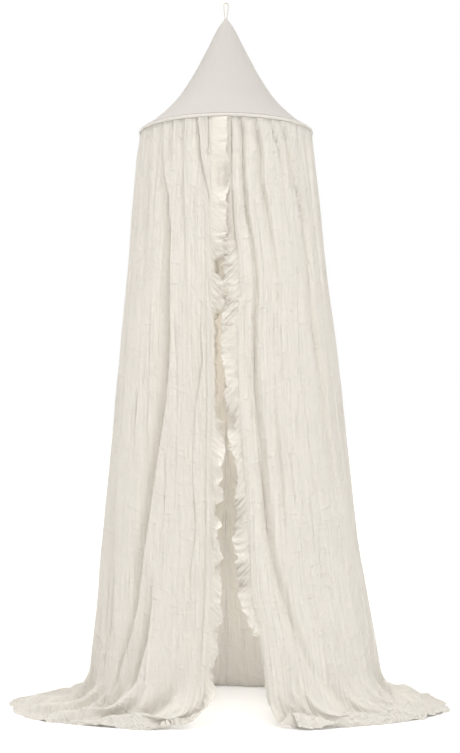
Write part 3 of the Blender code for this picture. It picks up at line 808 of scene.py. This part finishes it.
def train_relief(side, around, fall):
    """Ridges that sweep sideways from the wall's foot over the train."""
    seed = TRAIN_SEEDS[side]
    swept = around - TRAIN_SWEEP * (fall - 1)
    ridge = noise(swept / RIDGE_SPACING, fall * 0.45, seed)
    fine = noise(swept / FINE_RIDGE_SPACING, fall * 1.1, seed + 1)
    hemward = ramp((fall - 2.3) / 0.7)
    height = TRAIN_RIDGES * (1 - 0.7 * hemward) * np.sign(ridge) * np.abs(ridge) ** 0.8
    height += 0.0050 * fine + hemward * 0.005 * noise(around / 0.022, fall * 2.0, seed + 2)
    height -= 0.003 * hemward
    return height * ramp((fall - 0.8) / 0.5) * ramp((1 - around) / 0.03)


def skirt_point(side, around, fall, crinkled=0.0):
    """A point on the middle of the skirt's cloth, folds and all."""
    around, fall = paired(around, fall)
    (lift,) = straight_table(LYING_LIFT, fall)
    landing = ramp((around - BACK_FROM) / 0.14) * ramp((2.45 - fall) / 0.3)
    lift = lift * (1 - landing)
    stand = lift - fold_depth(side, around, fall)
    calm = ramp(fall / 0.05) * np.clip((around - 0.013) / 0.008, 0.10, 1)
    calm = calm * ramp((1 - around) / 0.02)
    stand = stand + crinkled * calm * crinkle(side, around, fall)
    band = ramp((FRONT_BAND - around) / 0.003) * ramp(fall / 0.1)
    relief = train_relief(side, around, fall) * (1 - 0.85 * landing)
    stand = stand + crinkled * BAND_STEP * band + relief
    stand = stand + crinkled * HEM_STEP * ramp((fall - 2.93) / 0.01)
    point = mean_point(side, around, fall) + stand[..., None] * outward(side, around, fall)
    trailing = mean_point(side, around, 3.0) - mean_point(side, around, 2.5)
    trailing /= np.linalg.norm(trailing, axis=-1, keepdims=True)
    ragged = noise(around / 0.009, around * 0, 33) + noise(around / 0.028, around * 0, 34) - 0.4
    pulled = HEM_RAGGED * ragged * ramp((fall - 2.5) / 0.5)
    point = point + pulled[..., None] * trailing * ramp((1 - around) / 0.03)[..., None]
    point[..., 2] = np.maximum(point[..., 2], CLOTH / 2 + FLOOR_GAP) + FLOOR
    point[..., 0] = side * np.maximum(side * point[..., 0], SEAM)
    return point


def skirt_half(name, side, node):
    share = np.linspace(0, 1, SKIRT_COLUMNS + 1)
    around = share * (1 - FRONT_CROWDING) + FRONT_CROWDING * share**2
    fall = np.concatenate([
        np.linspace(0, 1, WALL_ROWS, endpoint=False),
        np.linspace(1, 2, BEND_ROWS, endpoint=False),
        np.linspace(2, 3, TRAIN_ROWS + 1)])
    fall_grid, around_grid = np.meshgrid(fall, around, indexing="ij")
    grid = skirt_point(side, around_grid, fall_grid, crinkled=1.0)
    if side == LEFT:
        grid, around = grid[:, ::-1], around[::-1]
    length = np.interp(fall, RUN_FALLS, RUN_LENGTHS)

    def flat(row, column):
        return np.stack([around[column] * MEAN_WIDTH, length[row]], axis=-1)

    half = cloth_sheet(name, grid, flat, CLOTH, muslin)
    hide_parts(node)
    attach(half, "root")
    return half


left_half = skirt_half("muslin_left", LEFT, "skirt_left")
right_half = skirt_half("muslin_right", RIGHT, "skirt_right")

# ---------------- ruffles
# A strip of the same muslin along each front edge, three tenths longer than its seam
# and gathered on it, so that it stands in creases there and in loose flutes at its
# free edge. The left one goes down to the floor, the right one ends above it.
#
# The tables give height (or fall, where it lies) and width in thousandths, the turn in
# degrees, plus is inwards, and the curl of the free half, if it has one.
LEFT_RUFFLE = [
    (1969, 57, -6), (1898, 57, -10), (1850, 56, -12), (1826, 60, 10, -20),
    (1812, 76, 62, -100), (1750, 76, 62, -100), (1730, 64, 20, -40), (1712, 56, -12),
    (1650, 56, -16), (1590, 56, -12), (1575, 62, -20, -20), (1545, 72, -20, -20),
    (1518, 62, -10), (1508, 44, 50), (1498, 44, 72), (1462, 48, 40, 10), (1438, 56, 0),
    (1425, 60, -25, -20), (1395, 56, -10, -30), (1370, 58, -25, -20), (1345, 48, -10),
    (1335, 44, 60), (1300, 42, 85), (1119, 40, 88), (1029, 44, 85), (974, 46, 66),
    (948, 46, 54), (916, 47, 20), (894, 48, -5), (850, 48, -40), (806, 48, -52),
    (785, 46, -60), (752, 38, -15), (726, 38, 35), (718, 38, 80), (684, 38, 92), (665, 38, 55),
    (650, 36, 5), (644, 36, -78), (612, 40, -72), (562, 38, -20), (533, 38, 40), (517, 38, 78),
    (465, 36, 20), (404, 38, -30), (359, 42, -10), (340, 42, 25), (321, 40, 74), (269, 36, 45),
    (237, 36, 40), (179, 36, 78), (147, 36, 50),
]
LEFT_RUFFLE_LYING = [
    (1100, 40, 0), (1250, 40, -60), (1450, 36, -100, -10), (1800, 34, -118, -15),
    (2100, 32, -120, -10), (2500, 22, -110), (3000, 6, -60),
]
RIGHT_RUFFLE = [
    (1969, 46, 8), (1830, 48, 10), (1805, 40, 50), (1740, 40, 50), (1715, 48, 25),
    (1600, 50, 22), (1580, 50, -10), (1555, 50, -20, -20), (1520, 56, -15, -15),
    (1505, 58, -15, -15), (1470, 58, -10, -20), (1440, 60, -15, -15), (1432, 60, -10, -15),
    (1400, 56, -20, -20), (1370, 54, -5, -20), (1345, 52, -20, -20), (1335, 54, -2),
    (1300, 54, -8, -15), (1275, 52, 10), (1255, 56, -8, -10), (1212, 56, 0, -10),
    (1200, 54, -15), (1148, 50, -24), (1112, 50, -44), (1051, 48, 20), (1016, 48, 38),
    (992, 48, 62), (984, 46, 60), (929, 44, -20), (900, 44, -22), (887, 44, -50),
    (855, 40, -34), (836, 40, -50), (813, 40, -70), (790, 40, -50), (761, 40, -25),
    (745, 40, 12), (713, 42, 40), (691, 42, 28), (684, 44, 46), (646, 46, 38), (613, 54, 10),
    (568, 54, -28), (549, 54, -42), (541, 54, -8), (523, 52, 42), (488, 50, 30), (456, 50, 62),
    (430, 48, -8), (398, 48, -26), (372, 46, -62), (337, 44, -52), (310, 44, -72),
    (296, 44, 60), (285, 44, 125), (140, 40, 140),
]
RIGHT_RUFFLE_LYING = [
    (1300, 38, 150),
]
RUFFLE_SEAM = 0.003  # how far the ruffle reaches behind the edge
RUFFLE_FULLNESS = 1.3  # flat length for each length of seam
RUFFLE_STEP = 0.0019
RUFFLE_ROWS = 22
RIGHT_RUFFLE_END = 1.30
RUFFLE_MAP_WIDTH = 0.05  # across the strip, for its weave
TURN_SOFTENING = 9  # steps along the seam
SWING_DEPTH, SWING_LENGTH = 0.0050, 0.026
FINE_CREASE, FINE_CREASE_LENGTH = 0.0038, 0.0052
BROAD_CREASE, BROAD_CREASE_LENGTH = 0.0085, 0.0125
RUFFLE_LIVELINESS = [  # fall, how strongly the left and the right one are crumpled
    (0.00, 0.35, 0.30),
    (0.07, 0.35, 0.30),
    (0.12, 0.80, 0.50),
    (0.19, 0.60, 0.50),
    (0.22, 1.50, 1.50),
    (0.35, 1.40, 1.50),
    (0.40, 0.80, 1.00),
    (2.10, 1.00, 1.00),
    (2.70, 0.20, 1.00),
]
RUFFLE_CURL = 0.42  # of the width: a turn reaches its whole here
frill_muslin = cloth_material(
    "frill_muslin", light=(0.868, 0.838, 0.780), dark=(0.810, 0.775, 0.708),
    threads=700.0, unevenness=0.9, bump=0.00015, roughness=0.95, sheen=0.08,
    through=0.17, creases=(
        (0.0030, 0.030, 0.006, 20.0, "FBM"),))


def ruffle(name, side, table, lying, last_fall, node, seed):
    fine_fall = np.linspace(0, last_fall, 4001)
    line = skirt_point(side, 0.0, fine_fall, crinkled=1.0)
    run_fine = np.concatenate([[0], np.cumsum(np.linalg.norm(np.diff(line, axis=0), axis=1))])
    count = int(run_fine[-1] / RUFFLE_STEP)
    run = np.linspace(0, run_fine[-1], count + 1)
    falls = np.interp(run, run_fine, fine_fall)
    seam = skirt_point(side, 0.0, falls, crinkled=1.0)
    along = np.gradient(seam, axis=0)
    along /= np.linalg.norm(along, axis=1, keepdims=True)
    inner = mean_point(side, 0.0, falls) - mean_point(side, 3 * PROBE, falls)
    inner -= np.sum(inner * along, axis=1, keepdims=True) * along
    inner /= np.linalg.norm(inner, axis=1, keepdims=True)
    inwards = side * np.cross(along, inner)
    strip_table = np.array([(*row, 0)[:4] for row in table + lying]) / (1000, 1000, 1, 1)
    heights = strip_table[:len(table), 0]
    strip_table[:len(table), 0] = (SKIRT_TOP - heights) / (SKIRT_TOP - KNEE_HEIGHT)
    width, turn, curl = straight_table(strip_table, falls)
    soften = np.hanning(TURN_SOFTENING) / np.hanning(TURN_SOFTENING).sum()
    turn, curl = (
        np.convolve(np.pad(line, TURN_SOFTENING // 2, "edge"), soften, "valid")
        for line in (turn, curl))
    lively = straight_table(RUFFLE_LIVELINESS, falls)[0 if side == LEFT else 1]
    swing = SWING_DEPTH * lively * noise(run / SWING_LENGTH, run * 0, seed + 1)
    turn = turn + 12.0 * lively * noise(run / 0.012, run * 0, seed + 2)
    width = width * (1 + 0.07 * lively * noise(run / 0.009, run * 0, seed + 4))

    rows = [seam - RUFFLE_SEAM * inner + CLOTH * inwards]
    shares = np.linspace(0, 1, RUFFLE_ROWS + 1)
    for start, end in zip(shares, shares[1:]):
        middle = (start + end) / 2
        angle = np.radians(turn) * min(1.0, middle / RUFFLE_CURL)
        angle = angle + np.radians(curl) * ramp((middle - 0.45) / 0.3)
        heading = np.cos(angle)[:, None] * inner + np.sin(angle)[:, None] * inwards
        rows.append(rows[-1] + heading * (width * (end - start))[:, None])
    final = np.radians(turn)
    swing_to = np.cos(final)[:, None] * inwards - np.sin(final)[:, None] * inner
    for share, row in zip(shares, rows):
        slid = run - 0.9 * share * width
        fine = 0.5 - np.abs(noise(
            slid / FINE_CREASE_LENGTH, run * 0 + share * 0.8, seed + 3))
        broad = 0.5 - np.abs(noise(
            slid / BROAD_CREASE_LENGTH, run * 0 + share * 0.7, seed + 5))
        crease = FINE_CREASE * fine * (1 - 0.5 * share) + BROAD_CREASE * broad * share**0.6
        push = swing * share + lively * crease * min(1.0, share / 0.10)
        row += swing_to * push[:, None]
        row[:, 2] = np.maximum(row[:, 2], FLOOR + CLOTH / 2 + FLOOR_GAP)
    grid = np.array(rows).transpose(1, 0, 2)
    if side == RIGHT:
        grid = grid[:, ::-1]

    def flat(row, column):
        across = column if side == LEFT else RUFFLE_ROWS - column
        return np.stack([across * RUFFLE_MAP_WIDTH / RUFFLE_ROWS,
                         run[row] * RUFFLE_FULLNESS], axis=-1)

    strip = cloth_sheet(name, grid, flat, 0.0010, frill_muslin)
    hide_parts(node)
    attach(strip, "root")
    return strip, run[-1]


left_strip, left_run = ruffle(
    "ruffle_strip_left", LEFT, LEFT_RUFFLE, LEFT_RUFFLE_LYING, 3.0, "ruffle_left", 300)
right_strip, right_run = ruffle(
    "ruffle_strip_right", RIGHT, RIGHT_RUFFLE, RIGHT_RUFFLE_LYING, RIGHT_RUFFLE_END,
    "ruffle_right", 400)

# ---------------- stitches
# Short stitches of ivory thread: one row through the casing and the gathers, two
# along each front edge, where its hem and the ruffle are sewn, one round the hem.
STITCH_PITCH = 0.0045
STITCH_LENGTH = 0.0031
THREAD_RADIUS = 0.00045
STITCH_LIFT = 0.0010  # of the thread's middle above the cloth's middle
thread = cloth_material(
    "ivory_thread", light=(0.80, 0.765, 0.70), dark=(0.70, 0.655, 0.58),
    threads=3000.0, unevenness=0.5, bump=0.0001, roughness=0.85, sheen=0.1,
    coordinates="Object")

stitch_tree, stitch_in, stitch_out = new_group("stitch_row", "GeometryNodeTree", (
    ("Geometry", "Geometry"), ("Pitch", "Float", STITCH_PITCH),
    ("Length", "Float", STITCH_LENGTH), ("Thread radius", "Float", THREAD_RADIUS),
    ("Seed", "Int", 1), ("Thread", "Material")), (("Geometry", "Geometry"),))
add, work = hands_for(stitch_tree)
places = add("GeometryNodeCurveToPoints", {
    "Curve": stitch_in.outputs["Geometry"], "Length": stitch_in.outputs["Pitch"],
}, mode="LENGTH")
stitch = add("GeometryNodeMeshCylinder", {
    "Vertices": 6, "Radius": stitch_in.outputs["Thread radius"],
    "Depth": stitch_in.outputs["Length"]})
lie_along = add("FunctionNodeAlignRotationToVector", {
    "Vector": places.outputs["Tangent"]}, axis="Z")
unlike = add("FunctionNodeRandomValue", {
    "Min": 0.85, "Max": 1.10, "Seed": stitch_in.outputs["Seed"]}, data_type="FLOAT")
row_of = add("GeometryNodeInstanceOnPoints", {
    "Points": places.outputs["Points"], "Instance": stitch.outputs["Mesh"],
    "Rotation": lie_along.outputs["Rotation"], "Scale": unlike.outputs["Value"]})
stitch_real = add("GeometryNodeRealizeInstances", {
    "Geometry": row_of.outputs["Instances"]})
stitch_cloth = add("GeometryNodeSetMaterial", {
    "Geometry": stitch_real.outputs["Geometry"],
    "Material": stitch_in.outputs["Thread"]})
wire(stitch_tree, stitch_out, {"Geometry": stitch_cloth.outputs["Geometry"]})


def on_cloth(side, around, fall):
    around, fall = paired(around, fall)
    return skirt_point(side, around, fall, crinkled=1.0) + STITCH_LIFT * outward(
        side, around, fall)


def stitch_rows(name, lines, seed):
    drawn = drawn_curve(name, lines)
    rows = plain_mesh_of(drawn, stitch_tree, name + "_thread", {
        "Pitch": STITCH_PITCH, "Length": STITCH_LENGTH, "Thread radius": THREAD_RADIUS,
        "Seed": seed, "Thread": thread})
    bpy.data.objects.remove(drawn, do_unlink=True)
    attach(rows, "root")
    return rows


def half_stitches(name, side, last_fall, seed):
    down = np.linspace(0.01, last_fall, 700)
    hem_around = np.linspace(0.02, 0.985, 500)
    return stitch_rows(name, [
        on_cloth(side, 0.003, down), on_cloth(side, FRONT_BAND - 0.004, down),
        on_cloth(side, hem_around, 2.90)], seed)


left_stitches = half_stitches("stitches_left", LEFT, 2.9, 1)
right_stitches = half_stitches("stitches_right", RIGHT, 2.9, 2)
gathered = np.linspace(0.0, 0.998, 400)
casing_stitches = stitch_rows("stitches_casing", [
    on_cloth(LEFT, gathered, 0.004), on_cloth(RIGHT, gathered, 0.004)], 3)
